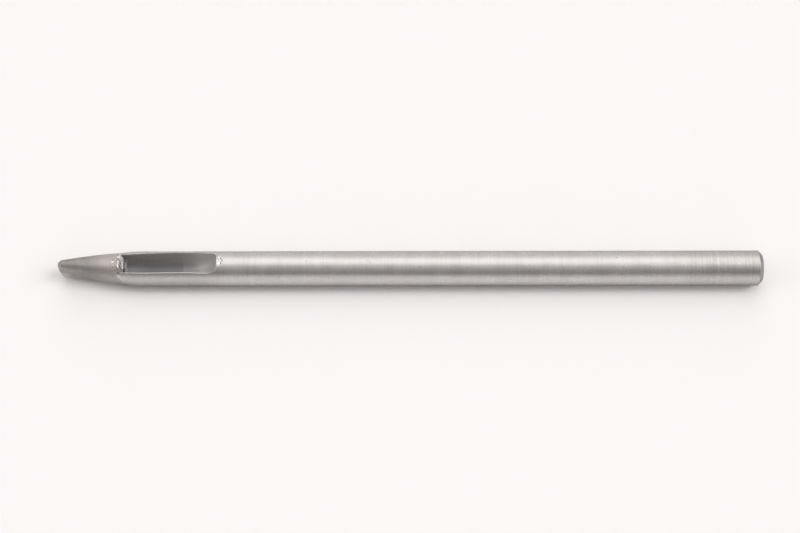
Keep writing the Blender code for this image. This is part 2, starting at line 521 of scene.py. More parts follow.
def build_shank(material):
    skin = Skin()
    ys = floor_ys()
    outer_rows, inner_rows, rim_rows = add_window(skin, ys)
    join_window(skin, outer_rows, inner_rows, rim_rows)
    rear_inner = inner_rows[-1][WALL_COLUMNS:-WALL_COLUMNS]
    rear_outer = add_rear_rim(skin, ys, outer_rows[-1], rear_inner, rim_rows)
    last_ring, turns = add_bar(skin, outer_rows[-1] + rear_outer)
    add_striking_end(skin, last_ring, turns)
    return skin.piece("shank_bar", material, SHANK_SHARP_ANGLE)


# Cutting nose

ROUND_COLUMNS = 36
FLAT_COLUMNS = 14
NOSE_ROWS = 64
HOLLOW_ROWS = 14
NOSE_SHARP_ANGLE = 32

# Rows on the bevel, on the flat rear end and in the slot's straight land, as shares of their way.
BEVEL_SHARES = (0.25, 0.5, 0.75, 0.92)
REAR_SHARES = (0.35, 0.7)
LAND_SHARES = (0.5, 1.0)
FLANK_START_X = 1.12 * BEVEL_LENGTH

# Half thickness and half height of the cutting edge, the slot and the hollow's wide end.
EDGE_SIZE = (SLOT_WIDTH / 2 + EDGE_LAND, SLOT_LENGTH / 2 + EDGE_LAND)
SLOT_SIZE = (SLOT_WIDTH / 2, SLOT_LENGTH / 2)
HOLLOW_SIZE = (HOLLOW_HALF_WIDTH, HOLLOW_HALF_HEIGHT)


def arc(radius, height, first, sweep, count):
    """Points of an arc round a centre at a height, without its last one."""
    turns = [first + sweep * i / count for i in range(count)]
    return [(radius * math.sin(turn), height + radius * math.cos(turn)) for turn in turns]


def flat_side(across, first, last):
    """Points of an upright line between two heights, without its last one."""
    return [(across, mix(first, last, i / FLAT_COLUMNS)) for i in range(FLAT_COLUMNS)]


def oblong(x, half_thickness, half_height):
    """An upright oblong with round ends, from the top round through +Y, with the nose's lean and wear."""
    straight = half_height - half_thickness
    quarter = ROUND_COLUMNS // 2
    points = arc(half_thickness, straight, 0.0, math.pi / 2, quarter)
    points += flat_side(half_thickness, straight, -straight)
    points += arc(half_thickness, -straight, math.pi / 2, math.pi, ROUND_COLUMNS)
    points += flat_side(-half_thickness, -straight, straight)
    points += arc(half_thickness, straight, math.pi * 1.5, math.pi / 2, quarter)
    lean = NOSE_LEAN * math.sin(math.pi * (LEAN_START + LEAN_SPAN * x / JOINT_X))
    worn = WORN_CORNER * max(0.0, 1 - x / WORN_END_X)
    return [Vector((x + worn * max(0.0, -z / half_height), y + lean, z)) for y, z in points]


def between(x, size, next_size, share):
    """An oblong on the way from one size to another."""
    return oblong(x, mix(size[0], next_size[0], share), mix(size[1], next_size[1], share))


def hand_ground(point, half_thickness, half_height):
    """Moves a point of the nose in a little, as grinding by hand leaves it."""
    uneven = 0.5 + 0.5 * noise.noise(point * GRIND_SCALE)
    fine = 0.5 + 0.5 * noise.noise(point * FINE_GRIND_SCALE)
    shrink = GRIND_DEPTH * uneven + FINE_GRIND_DEPTH * fine
    scale_y = 1 - shrink / half_thickness
    scale_z = 1 - shrink / half_height
    return Vector((point.x, point.y * scale_y, point.z * scale_z))


def build_nose(material):
    """Rows from the cutting edge back over the outside to the joint, then forward through the hollow."""
    skin = Skin()
    rows = [oblong(0.0, *EDGE_SIZE)]
    for share in BEVEL_SHARES:
        rows.append(between(BEVEL_LENGTH * share, EDGE_SIZE, outer_size(BEVEL_LENGTH), share))
    for x in spaced(FLANK_START_X, JOINT_X - GROOVE_REACH, NOSE_ROWS):
        thickness, height = outer_size(x)
        thickness += NOSE_BULGE * math.sin(math.pi * (x / JOINT_X) ** BULGE_POWER)
        rows.append([hand_ground(p, thickness, height) for p in oblong(x, thickness, height)])
    rear_size = [size - GROOVE_DEPTH for size in outer_size(JOINT_X)]
    rows.append(oblong(JOINT_X, *rear_size))
    for share in REAR_SHARES:
        rows.append(between(JOINT_X, rear_size, HOLLOW_SIZE, share))
    outer_count = len(rows)
    for share in spaced(0.0, 1.0, HOLLOW_ROWS):
        rows.append(between(mix(JOINT_X, SLOT_LAND_LENGTH, share), HOLLOW_SIZE, SLOT_SIZE, share))
    for share in LAND_SHARES:
        rows.append(oblong(mix(SLOT_LAND_LENGTH, 0.0, share), *SLOT_SIZE))
    added = [skin.row(row, inside=float(i >= outer_count)) for i, row in enumerate(rows)]
    skin.strips(added + added[:1], closed=True)
    return skin.piece("punch_nose", material, NOSE_SHARP_ANGLE)


# Weld: a pool over the window's front end, and a thin ring in the groove on the other sides

WELD_COLUMNS = 320
CROWN_COLUMNS = 56
UNDER_COLUMNS = 10
WELD_SHARP_ANGLE = 70

# Outline. The pool's toes are given at its ends and in its middle, and the ring's as a distance.
POOL_MIDDLE = math.radians(-8)
POOL_HALF_ANGLE = math.radians(41)
POOL_FRONT_MM = (13.40, 12.10)
POOL_REAR_MM = (14.30, 15.12)
POOL_EDGE = 1.04
POOL_EDGE_FADE = 9
POOL_CREST = 0.55
POOL_HEIGHT_MM = 0.05
RING_REACH = 0.50 * MM
RING_BELOW_MM = 0.02
RING_ABOVE_MM = 0.07
UPPER_COSINE = 0.38
UPPER_FADE = 0.30
RAGGED_EDGE = 0.08 * MM
RAGGED_SCALE = 6.0
SEAM_LINE = [
    # Angle from the top in degrees, and place of the seam's crest along the punch in millimetres.
    (0.0, 13.00), (44.0, 13.05), (52.0, 13.60), (63.0, 14.10), (74.0, 14.50), (85.0, 14.70), (180.0, 14.75),
]
BACK_SEAM_X = 13.90 * MM

# Edges. The pool's rear lip drops into the window, and a skirt hangs from it. The skirt's marks for its paint
# are given for its upper and its lower part: they paint shade on the upper part and a highlight on the lower.
TOE_FADE = 11
EDGE_SINK = 0.02 * MM
LIP_DROP = 0.45 * MM
BOX_MARGIN = 0.002 * MM
PAST_REACH = 0.3 * MM
CREASE_REACH = 0.28 * MM
RING_ROOT = GROOVE_DEPTH * 0.7
POOL_ROOT = 1.0 * MM
SKIRT_REACH = 1.1 * MM
SKIRT_HANG = 0.84 * MM
SKIRT_LOWER_ANGLE = -31
SKIRT_LOWER_FADE = 8
SKIRT_PAINTED_SHADE_AND_HIGHLIGHT_RELIEF = (-0.15, 0.10)
SKIRT_POOL = (0.3, 1.0)

# Crust of the pool, in millimetres and in cells or waves per millimetre.
RIPPLE_HEIGHT = 0.016
RIPPLE_SCALE = 2.6
CRUST_SINK = 0.03
REAR_SINK = 0.05
REAR_SINK_START = 13.4
REAR_SINK_REACH = 0.6
CRUMB_HEIGHT = 0.09
REAR_CRUMB_HEIGHT = 0.045
REAR_CRUMB_START = 13.6
REAR_CRUMB_REACH = 0.8
CRUMB_SCALE = 2.3
CRUMB_RADIUS = 0.58
CRUMB_SWAY = 0.18
SWAY_SCALE = 2.1
SWAY_SHIFTS = (Vector((11.4, 3.3, 6.8)), Vector((1.6, 9.5, 2.9)), Vector((7.2, 0.4, 5.5)))
FINE_CRUST_HEIGHT = 0.018
FINE_CRUST_SCALE = 5.0
DEEPEST_PIT = -0.15
POOL_LUMPS = [
    # Place along the punch in millimetres, angle from the top in degrees, half length and half width in
    # millimetres, lean in degrees and height in millimetres. A height below zero is a pit.
    (12.45, 6.0, 0.95, 0.20, 24.0, 0.12),
    (13.64, 5.5, 0.26, 0.24, 0.0, 0.10),
    (13.58, -6.5, 0.28, 0.24, 0.0, 0.10),
    (14.62, -4.0, 0.42, 0.30, 0.0, 0.11),
    (13.60, -27.0, 0.75, 0.26, -20.0, 0.11),
    (13.35, 21.0, 0.35, 0.22, 20.0, 0.08),
    (12.85, 8.0, 0.26, 0.20, 0.0, -0.11),
    (12.50, -30.0, 0.32, 0.24, 0.0, -0.09),
    (13.05, -36.0, 0.34, 0.22, 0.0, -0.09),
    (14.05, -14.0, 0.55, 0.20, -15.0, -0.08),
]


def seam_crest(turn):
    angle = from_top(turn)
    lowest = BACK_SEAM_X if angle > 0 else 0.0
    for (before, x), (after, next_x) in zip(SEAM_LINE, SEAM_LINE[1:]):
        if abs(angle) <= after:
            return max(lowest, mix(x, next_x, (abs(angle) - before) / (after - before)) * MM)
    return SEAM_LINE[-1][1] * MM


def upper_share(turn):
    """1 round the top of the punch and 0 round its sides and bottom."""
    return smooth((math.cos(turn) - UPPER_COSINE) / UPPER_FADE)


def weld_profile(turn):
    """Front toe, crest, rear toe and height of the weld at an angle, and how much of it is the pool."""
    away = abs(math.remainder(turn - POOL_MIDDLE, math.tau)) / POOL_HALF_ANGLE
    lens = math.sqrt(max(0.0, 1 - away * away))
    share = smooth(POOL_EDGE_FADE * (POOL_EDGE - away))
    at = Vector((RAGGED_SCALE * math.sin(turn), RAGGED_SCALE * math.cos(turn), 0.3))
    ragged = RAGGED_EDGE * noise.noise(at)
    crest = seam_crest(turn) + ragged
    front = mix(JOINT_X - RING_REACH, mix(*POOL_FRONT_MM, lens) * MM, share) + ragged
    rear = mix(crest + RING_REACH, mix(*POOL_REAR_MM, math.sqrt(lens)) * MM, share) - ragged
    crest = mix(crest, mix(front, rear, POOL_CREST), share)
    ring_height = mix(RING_BELOW_MM, RING_ABOVE_MM, upper_share(turn))
    return front, crest, rear, mix(ring_height, POOL_HEIGHT_MM, share) * MM, share


def weld_lumps(x, turn, share):
    """Height of the pool's crumbled crust, and of the faint ripples on the ring."""
    at = Vector((x, SHANK_RADIUS * math.sin(turn), SHANK_RADIUS * math.cos(turn))) / MM
    ripples = RIPPLE_HEIGHT * noise.noise(at * RIPPLE_SCALE)
    if share == 0.0:
        return MM * ripples
    height = -CRUST_SINK - REAR_SINK * smooth((at.x - REAR_SINK_START) / REAR_SINK_REACH)
    for place, angle, half_length, half_width, lean, rise in POOL_LUMPS:
        along = at.x - place
        across = math.radians(from_top(turn) - angle) * SHANK_RADIUS / MM
        cosine = math.cos(math.radians(lean))
        sine = math.sin(math.radians(lean))
        length = (across * cosine + along * sine) / half_length
        width = (along * cosine - across * sine) / half_width
        height += rise * math.exp(-length * length - width * width)
    sway = CRUMB_SWAY * Vector([noise.noise(at * SWAY_SCALE + shift) for shift in SWAY_SHIFTS])
    cells = noise.voronoi((at + sway) * CRUMB_SCALE)[0]
    to_rear = smooth((at.x - REAR_CRUMB_START) / REAR_CRUMB_REACH)
    crumbs = mix(CRUMB_HEIGHT, REAR_CRUMB_HEIGHT, to_rear) * (0.5 - (cells[0] / CRUMB_RADIUS) ** 2)
    fine = FINE_CRUST_HEIGHT * noise.noise(at * FINE_CRUST_SCALE)
    return MM * mix(ripples, max(height + crumbs, DEEPEST_PIT) + fine, share)


def add_crown(skin, turn, profile):
    """The weld's outside at an angle, from its front toe to its rear toe."""
    front, crest, rear, height, share = profile
    added = []
    for along in spaced(0.0, 1.0, CROWN_COLUMNS + 1):
        x = mix(front, rear, along)
        if x < crest:
            dome = smooth((x - front) / (crest - front))
        else:
            dome = math.sqrt(max(0.0, 1 - ((x - crest) / (rear - crest)) ** 4))
        lip = LIP_DROP * share * (1 - dome) if x > crest else 0.0
        fade = smooth(TOE_FADE * min(along, 1 - along))
        lump = weld_lumps(x, turn, share) * fade
        rise = height * dome - lip + lump - EDGE_SINK * (1 - fade)
        limit = SHANK_RADIUS - outer_size(x)[1] - BOX_MARGIN
        marks = {
            "relief": lump / MM,
            "pool": share * fade,
            "past": smooth((x - crest) / PAST_REACH + 0.5),
            "crease": (1 - share) * upper_share(turn) * smooth(1 - abs(x - crest) / CREASE_REACH),
            "body": share,
        }
        added.append(skin.add(outer_point(x, turn, min(rise, limit)), **marks))
    return added


def add_underside(skin, turn, profile):
    """The weld's root at an angle, from its rear toe to its front toe. The pool's starts with the skirt."""
    front, _, rear, _, share = profile
    root_depth = mix(RING_ROOT, POOL_ROOT, share)
    lower = 1 - smooth((from_top(turn) - SKIRT_LOWER_ANGLE) / SKIRT_LOWER_FADE)
    # These relief and pool marks paint shade on the skirt's upper part and a highlight on its lower part.
    marks = {"relief": mix(*SKIRT_PAINTED_SHADE_AND_HIGHLIGHT_RELIEF, lower), "pool": mix(*SKIRT_POOL, lower) * share}
    added = []
    for along in spaced(0.0, 1.0, UNDER_COLUMNS + 1)[1:-1]:
        x = mix(rear, front, along) + SKIRT_REACH * share * math.sin(math.pi * min(1.0, 3.5 * along))
        depth = root_depth * math.sin(math.pi * along) ** 0.5
        hang = SKIRT_HANG * share * smooth(1.6 - 2.6 * along)
        edge = EDGE_SINK + LIP_DROP * share * (1 - along) ** 3
        point = outer_point(x, turn, -max(depth, hang) - edge)
        added.append(skin.add(point, past=1 - along, crease=0.0, body=0.0, **marks))
    return added


def build_weld(material):
    skin = Skin()
    loops = []
    for i in range(WELD_COLUMNS):
        turn = math.tau * i / WELD_COLUMNS
        profile = weld_profile(turn)
        loops.append(add_crown(skin, turn, profile) + add_underside(skin, turn, profile))
    skin.strips(loops + loops[:1], closed=True)
    return skin.piece("weld_crust", material, WELD_SHARP_ANGLE)


# Materials


class Nodes:
    """Short calls for the nodes of a tree."""

    def __init__(self, tree):
        self.tree = tree

    def node(self, kind, inputs=None, **settings):
        made = self.tree.nodes.new(kind)
        for key, value in settings.items():
            setattr(made, key, value)
        for key, value in (inputs or {}).items():
            self.join(value, made.inputs[key])
        return made

    def join(self, value, socket):
        if isinstance(value, bpy.types.NodeSocket):
            self.tree.links.new(value, socket)
        else:
            socket.default_value = value

    def math(self, operation, a, b=0.0, c=0.0):
        return self.node("ShaderNodeMath", {0: a, 1: b, 2: c}, operation=operation).outputs[0]

    def product(self, first, *others):
        for other in others:
            first = self.math("MULTIPLY", first, other)
        return first

    def rest(self, share):
        """What a share leaves of 1."""
        return self.math("SUBTRACT", 1.0, share)

    def distance(self, value, middle):
        return self.math("ABSOLUTE", self.math("SUBTRACT", value, middle))

    def plus(self, base, value, amount):
        """A base plus a value times an amount."""
        return self.math("MULTIPLY_ADD", value, amount, base)

    def vary(self, base, pattern, amount):
        """A base that a pattern round 0.5 moves up and down."""
        return self.plus(base, self.math("SUBTRACT", pattern, 0.5), amount)

    def ramp(self, value, low, high, to_low=0.0, to_high=1.0, curve="SMOOTHSTEP"):
        inputs = {"Value": value, "From Min": low, "From Max": high, "To Min": to_low, "To Max": to_high}
        return self.node("ShaderNodeMapRange", inputs, interpolation_type=curve).outputs["Result"]

    def blend(self, share, a, b):
        made = self.node("ShaderNodeMix", data_type="RGBA")
        self.join(share, made.inputs[0])
        self.join(a, made.inputs[6])
        self.join(b, made.inputs[7])
        return made.outputs[2]


class Shading(Nodes):
    """Nodes of a material that shade by place on the piece."""

    def __init__(self, name):
        self.material = bpy.data.materials.new(name)
        self.material.use_nodes = True
        super().__init__(self.material.node_tree)
        self.shader = self.tree.nodes["Principled BSDF"]

    def place(self):
        return self.node("ShaderNodeTexCoord").outputs["Object"]

    def stretched(self, scale, turn=(0.0, 0.0, 0.0)):
        inputs = {"Vector": self.place(), "Scale": scale, "Rotation": turn}
        return self.node("ShaderNodeMapping", inputs).outputs[0]

    def axis(self, name):
        return self.node("ShaderNodeSeparateXYZ", {0: self.place()}).outputs[name]

    def from_edge(self, first, last, to_first=0.0, to_last=1.0):
        """A ramp along the punch, between two distances from its cutting edge in millimetres."""
        return self.ramp(self.axis("X"), EDGE_X + first * MM, EDGE_X + last * MM, to_first, to_last)

    def sideways(self, first, last, to_first=0.0, to_last=1.0):
        """A ramp across the punch, between two distances from its middle plane in millimetres."""
        return self.ramp(self.axis("Y"), first * MM, last * MM, to_first, to_last)

    def above_axis(self, first, last, to_first=0.0, to_last=1.0):
        """A ramp up the punch, between two heights above its axis in millimetres."""
        return self.ramp(self.axis("Z"), AXIS_Z + first * MM, AXIS_Z + last * MM, to_first, to_last)

    def noise(self, vector, scale, detail=3.0, roughness=0.55):
        inputs = {"Vector": vector, "Scale": scale, "Detail": detail, "Roughness": roughness}
        return self.node("ShaderNodeTexNoise", inputs).outputs["Fac"]

    def lines(self, where, scale, detail=2.0):
        """Noise that changes along one line only."""
        inputs = {"W": where, "Scale": scale, "Detail": detail, "Roughness": 0.6}
        return self.node("ShaderNodeTexNoise", inputs, noise_dimensions="1D").outputs["Fac"]

    def mark(self, name):
        return self.node("ShaderNodeAttribute", attribute_name=name).outputs["Fac"]

    def bump(self, height, distance):
        inputs = {"Height": height, "Distance": distance, "Strength": 1.0}
        return self.node("ShaderNodeBump", inputs).outputs[0]

    def finish(self, colour, roughness, normal, metallic=1.0, edge_tint=0.58):
        self.shader.inputs["Metallic"].default_value = metallic
        self.shader.inputs["Specular Tint"].default_value = (edge_tint, edge_tint, edge_tint, 1.0)
        self.join(colour, self.shader.inputs["Base Color"])
        self.join(roughness, self.shader.inputs["Roughness"])
        self.join(normal, self.shader.inputs["Normal"])
        return self.material


def grey(level, warmth):
    return (level * (1 + warmth), level, level * (1 - warmth), 1.0)


# Shank steel: a ground bar with turning marks, and a milled slot.
BAR_DARK = grey(0.530, 0.024)
BAR_LIGHT = grey(0.590, 0.016)
BAR_PIT = grey(0.26, 0.05)
# Painted shade on the low side of the bar.
BAR_PAINTED_LOW_SHADE = grey(0.34, 0.025)
BAR_BESIDE_WINDOW = grey(0.44, 0.025)
# Painted shade on the bar's low side below the window.
BAR_PAINTED_SHADE_BELOW_WINDOW = grey(0.30, 0.03)
BAR_RING = grey(0.40, 0.04)
# Painted shade at the striking end.
BAR_PAINTED_END_SHADE = grey(0.36, 0.07)
# Painted shade on the chamfer.
BAR_CHAMFER_PAINTED_SHADE = grey(0.34, 0.02)
# Painted light on the slot's walls.
SLOT_WALL_PAINTED_LIGHT = grey(0.71, 0.012)
# Painted shade on the slot's floor, and painted light at its front.
SLOT_FLOOR_PAINTED_SHADE = grey(0.29, 0.012)
SLOT_FLOOR_FRONT_PAINTED_LIGHT = grey(0.52, 0.012)
# Painted light on the slot's rear end.
SLOT_REAR_PAINTED_LIGHT = grey(0.82, 0.012)
BURR_BRIGHT = grey(0.74, 0.012)

# How strong the turning marks are on the bar, where they are 1 at the striking end.
PLAIN_TURNING = 0.36
TURNING_SWAY = 0.3 * MM
SHANK_BUMP = 0.005 * MM


def shank_steel():
    s = Shading("shank_steel")
    inside = s.mark("inside")
    outside = s.rest(inside)
    rough = s.mark("rough")
    cloud = s.noise(s.place(), scale=260.0, detail=4.0)
    fine_cloud = s.noise(s.place(), scale=1500.0, detail=3.0)
    at_end = s.from_edge(141.0, 144.0, PLAIN_TURNING, 1.0)

    # Turning marks round the bar, scratches along it and across it, and pits.
    sway = s.plus(s.axis("X"), s.noise(s.place(), scale=160.0, detail=1.0), TURNING_SWAY)
    turned = s.lines(sway, scale=3600.0, detail=3.0)
    broad = s.lines(sway, scale=520.0, detail=2.0)
    scratch = s.noise(s.stretched((60.0, 3000.0, 3000.0)), scale=1.0, detail=2.0)
    scratched = s.ramp(scratch, 0.66, 0.74)
    slant = s.noise(s.stretched((900.0, 140.0, 900.0), (0.0, 0.0, 0.6)), scale=2.0, detail=2.0)
    slanted = s.ramp(slant, 0.70, 0.76)
    cells = s.node("ShaderNodeTexVoronoi", {"Vector": s.place(), "Scale": 420.0, "Randomness": 1.0})
    pit = s.ramp(cells.outputs["Distance"], 0.05, 0.10, 1.0, 0.0)

    # Tone of the bar, with painted light on the slot's walls, painted shade on the bar's low side, below the
    # window and at the striking end, and darker cloudy patches on its front beside the window.
    tone = s.vary(cloud, turned, s.product(at_end, 0.80))
    tone = s.vary(tone, broad, 0.35)
    tone = s.vary(tone, scratch, 0.45)
    colour = s.blend(s.ramp(tone, 0.30, 0.72), BAR_DARK, BAR_LIGHT)
    colour = s.blend(s.product(pit, 0.55), colour, BAR_PIT)
    colour = s.blend(s.product(inside, 0.85), colour, SLOT_WALL_PAINTED_LIGHT)
    painted_low_shade = s.above_axis(-0.6, 1.7, 0.7, 0.0)
    colour = s.blend(s.product(painted_low_shade, outside), colour, BAR_PAINTED_LOW_SHADE)
    beside_window = s.product(s.from_edge(30.0, 40.0, 1.0, 0.0), s.sideways(-1.0, 1.0, 1.0, 0.0))
    colour = s.blend(s.product(beside_window, cloud), colour, BAR_BESIDE_WINDOW)
    ring = s.product(s.ramp(s.lines(sway, scale=1900.0, detail=1.0), 0.40, 0.62), at_end)
    colour = s.blend(s.product(ring, 0.28), colour, BAR_RING)
    painted_end_shade = s.ramp(at_end, PLAIN_TURNING, 1.0)
    colour = s.blend(s.product(painted_end_shade, 0.16, outside), colour, BAR_PAINTED_END_SHADE)
    painted_shade_below_window = s.product(s.above_axis(0.2, 2.2, 0.55, 0.0), beside_window, outside)
    colour = s.blend(painted_shade_below_window, colour, BAR_PAINTED_SHADE_BELOW_WINDOW)

    # Painted shade on the slot's floor with painted light at its front, painted light on its rear end in
    # three steps, the burr behind it, and painted shade on the chamfer.
    painted_slot_floor = s.blend(s.from_edge(14.0, 21.0, 1.0, 0.0), SLOT_FLOOR_PAINTED_SHADE, SLOT_FLOOR_FRONT_PAINTED_LIGHT)
    colour = s.blend(s.product(inside, s.above_axis(-2.7, -1.1, 1.0, 0.0)), colour, painted_slot_floor)
    rear = s.from_edge(28.5, 34.0, 0.0, 0.7)
    rear = s.math("ADD", rear, s.from_edge(27.6, 28.1, 0.0, 0.2))
    rear = s.math("ADD", rear, s.from_edge(33.7, 34.2, 0.0, 0.1))
    colour = s.blend(s.product(inside, rear), colour, SLOT_REAR_PAINTED_LIGHT)
    colour = s.blend(s.product(rough, 0.6), colour, BURR_BRIGHT)
    chamfer_start = EDGE_X + PUNCH_LENGTH - CHAMFER
    chamfer = s.ramp(s.axis("X"), chamfer_start - CHAMFER_BREAK, chamfer_start + CHAMFER_BREAK)
    colour = s.blend(s.product(chamfer, 0.9), colour, BAR_CHAMFER_PAINTED_SHADE)

    gloss = s.ramp(s.plus(cloud, fine_cloud, 0.5), 0.5, 1.0, 0.245, 0.285)
    gloss = s.plus(gloss, inside, 0.38)
    gloss = s.plus(gloss, chamfer, 0.10)
    height = s.product(turned, at_end)
    height = s.plus(height, scratched, -0.35)
    height = s.plus(height, slanted, -0.25)
    height = s.plus(height, pit, -2.0)
    height = s.plus(height, fine_cloud, 0.06)
    return s.finish(colour, gloss, s.bump(height, SHANK_BUMP))


# Nose steel: dull and ground by hand, with a heat tint near the joint.
NOSE_DARK = grey(0.335, 0.045)
NOSE_LIGHT = grey(0.395, 0.035)
NOSE_HOLLOW = grey(0.22, 0.02)
NOSE_NEAR_JOINT = grey(0.57, 0.025)
# Painted shade on the nose's -Y flank.
NOSE_FLANK_PAINTED_SHADE = grey(0.20, 0.03)
# Painted light on the lower half of the tip.
NOSE_TIP_PAINTED_LIGHT = grey(0.56, 0.03)
HEAT_TINT = (0.46, 0.375, 0.33, 1.0)
HEAT_TINT_X = 11.0 * MM
HEAT_TINT_REACH = 2.6 * MM
HEAT_TINT_SWAY = 3.0 * MM
NOSE_BUMP = 0.008 * MM
NOSE_EDGE_TINT = 0.85


def nose_steel():
    s = Shading("nose_steel")
    inside = s.mark("inside")
    cloud = s.noise(s.place(), scale=420.0, detail=4.0)
    grain = s.noise(s.stretched((240.0, 3600.0, 3600.0)), scale=1.0, detail=3.0)
    across = s.noise(s.stretched((4200.0, 400.0, 400.0)), scale=1.0, detail=2.0)

    tone = s.vary(cloud, grain, 0.7)
    tone = s.vary(tone, across, 0.35)
    colour = s.blend(s.ramp(tone, 0.3, 0.75), NOSE_DARK, NOSE_LIGHT)
    from_tint = s.vary(s.distance(s.axis("X"), EDGE_X + HEAT_TINT_X), cloud, HEAT_TINT_SWAY)
    tint = s.ramp(from_tint, 0.0, HEAT_TINT_REACH, 1.0, 0.0)
    colour = s.blend(s.product(tint, 0.6), colour, HEAT_TINT)
    colour = s.blend(s.product(inside, 0.8), colour, NOSE_HOLLOW)
    near_joint = s.from_edge(5.0, 12.5)
    colour = s.blend(s.product(near_joint, 0.62), colour, NOSE_NEAR_JOINT)

    # Painted shade on the -Y flank, darker towards its edge, and painted light on the lower half of the tip.
    half_at_origin = MOUTH_THICKNESS / 2 - (EDGE_X + BEVEL_LENGTH) * SIDE_SLOPE
    half_thickness = s.math("MULTIPLY_ADD", s.axis("X"), SIDE_SLOPE, half_at_origin)
    painted_flank_shade = s.ramp(s.math("DIVIDE", s.axis("Y"), half_thickness), -0.95, -0.35, 0.42, 0.0)
    colour = s.blend(s.product(painted_flank_shade, s.from_edge(2.0, 7.0)), colour, NOSE_FLANK_PAINTED_SHADE)
    painted_tip_light = s.product(s.above_axis(-0.9, 0.2, 0.8, 0.0), s.sideways(-0.5, 0.0, 1.0, 0.0))
    colour = s.blend(s.product(painted_tip_light, s.from_edge(1.0, 3.4, 1.0, 0.0)), colour, NOSE_TIP_PAINTED_LIGHT)

    gloss = s.ramp(tone, 0.3, 0.75, 0.60, 0.50)
    gloss = s.plus(gloss, near_joint, -0.08)
    height = s.plus(grain, across, 0.5)
    height = s.plus(height, cloud, 0.6)
    return s.finish(colour, gloss, s.bump(height, NOSE_BUMP), edge_tint=NOSE_EDGE_TINT)


# Weld steel: a pool with dark specks, painted glints, burnt stains and brown pits, and a dull ring with a
# painted highlight on its crease.
RING_FRONT = grey(0.40, 0.025)
RING_REAR = grey(0.58, 0.018)
# Painted highlight along the ring's crease.
RING_CREASE_PAINTED_HIGHLIGHT = grey(0.74, 0.015)
# Painted shade on the ring's low side.
RING_PAINTED_LOW_SHADE = grey(0.32, 0.025)
POOL_DARK = grey(0.46, 0.03)
POOL_LIGHT = grey(0.62, 0.025)
# Painted highlight at the pool's front on its lit side.
POOL_FRONT_PAINTED_HIGHLIGHT = grey(0.92, 0.02)
# Painted shade on the pool's rear slope.
POOL_REAR_PAINTED_SHADE = grey(0.36, 0.02)
POOL_LOWER_SHADE = grey(0.22, 0.04)
# Painted highlight on the pool's high spots.
POOL_PAINTED_HIGHLIGHT = grey(0.84, 0.02)
# Painted glints on the pool's lit side.
PAINTED_GLINT_SPECK = grey(0.96, 0.02)
DARK_SPECK = (0.17, 0.14, 0.12, 1.0)
BURNT_STAIN = (0.50, 0.40, 0.33, 1.0)
BROWN_PIT = (0.19, 0.16, 0.135, 1.0)
# Painted shade on the skirt below the pool's rear lip.
SKIRT_PAINTED_SHADE = grey(0.08, 0.02)
WELD_BUMP = 0.01 * MM


def weld_steel():
    s = Shading("weld_steel")
    relief = s.mark("relief")
    pool = s.mark("pool")
    body = s.mark("body")
    cloud = s.noise(s.place(), scale=900.0, detail=3.0)
    lit = s.sideways(-0.6, 0.3, 0.3, 0.85)

    # Tones of the ring and the pool: a painted highlight along the ring's crease and painted shade on its low
    # side, a painted highlight at the pool's front on its lit side, and painted shade on the pool's rear
    # slope.
    ring = s.blend(s.mark("past"), RING_FRONT, RING_REAR)
    ring = s.blend(s.mark("crease"), ring, RING_CREASE_PAINTED_HIGHLIGHT)
    ring = s.blend(s.above_axis(-0.6, 2.3, 0.9, 0.0), ring, RING_PAINTED_LOW_SHADE)
    bright = s.blend(cloud, POOL_DARK, POOL_LIGHT)
    bright = s.blend(s.product(s.from_edge(12.2, 13.4, 1.0, 0.0), lit), bright, POOL_FRONT_PAINTED_HIGHLIGHT)
    colour = s.blend(pool, ring, bright)
    colour = s.blend(s.product(s.from_edge(14.2, 15.1, 0.0, 0.8), body), colour, POOL_REAR_PAINTED_SHADE)

    # Stains towards the nose, painted shade on the pool's lower half, brown pits, and painted highlights on
    # high spots.
    stain = s.ramp(s.noise(s.place(), scale=480.0, detail=1.0), 0.42, 0.62)
    stain = s.product(stain, s.from_edge(12.3, 14.6, 0.75, 0.15), s.sideways(-0.8, 0.2, 1.0, 0.4), body)
    colour = s.blend(stain, colour, BURNT_STAIN)
    colour = s.blend(s.product(s.sideways(-1.2, -0.2, 0.62, 0.0), body), colour, POOL_LOWER_SHADE)
    low = s.ramp(relief, -0.17, -0.09, 1.0, 0.0)
    colour = s.blend(s.product(low, 0.75), colour, BROWN_PIT)
    high = s.ramp(relief, 0.02, 0.09, 0.0, 0.75)
    colour = s.blend(s.product(high, pool), colour, POOL_PAINTED_HIGHLIGHT)

    # Dark specks all over the pool, painted glints on its lit side, and painted shade on the skirt below its
    # rear lip.
    speck = s.noise(s.place(), scale=1700.0, detail=2.0)
    in_pool = s.product(pool, body)
    colour = s.blend(s.product(s.ramp(speck, 0.38, 0.47, 0.72, 0.0), in_pool), colour, DARK_SPECK)
    colour = s.blend(s.product(s.ramp(speck, 0.54, 0.63, 0.0, 0.8), in_pool, lit), colour, PAINTED_GLINT_SPECK)
    skirt = s.ramp(s.product(pool, s.rest(body)), 0.10, 0.28)
    colour = s.blend(s.product(skirt, low, 0.85), colour, SKIRT_PAINTED_SHADE)

    gloss = s.ramp(cloud, 0.3, 0.7, 0.32, 0.44)
    gloss = s.plus(gloss, skirt, 0.45)
    return s.finish(colour, gloss, s.bump(cloud, WELD_BUMP))


PAPER_DARK = (0.941, 0.930, 0.925, 1.0)
PAPER_LIGHT = (0.954, 0.943, 0.938, 1.0)
PAPER_SPECULAR = 0.2
PAPER_BUMP = 0.004 * MM


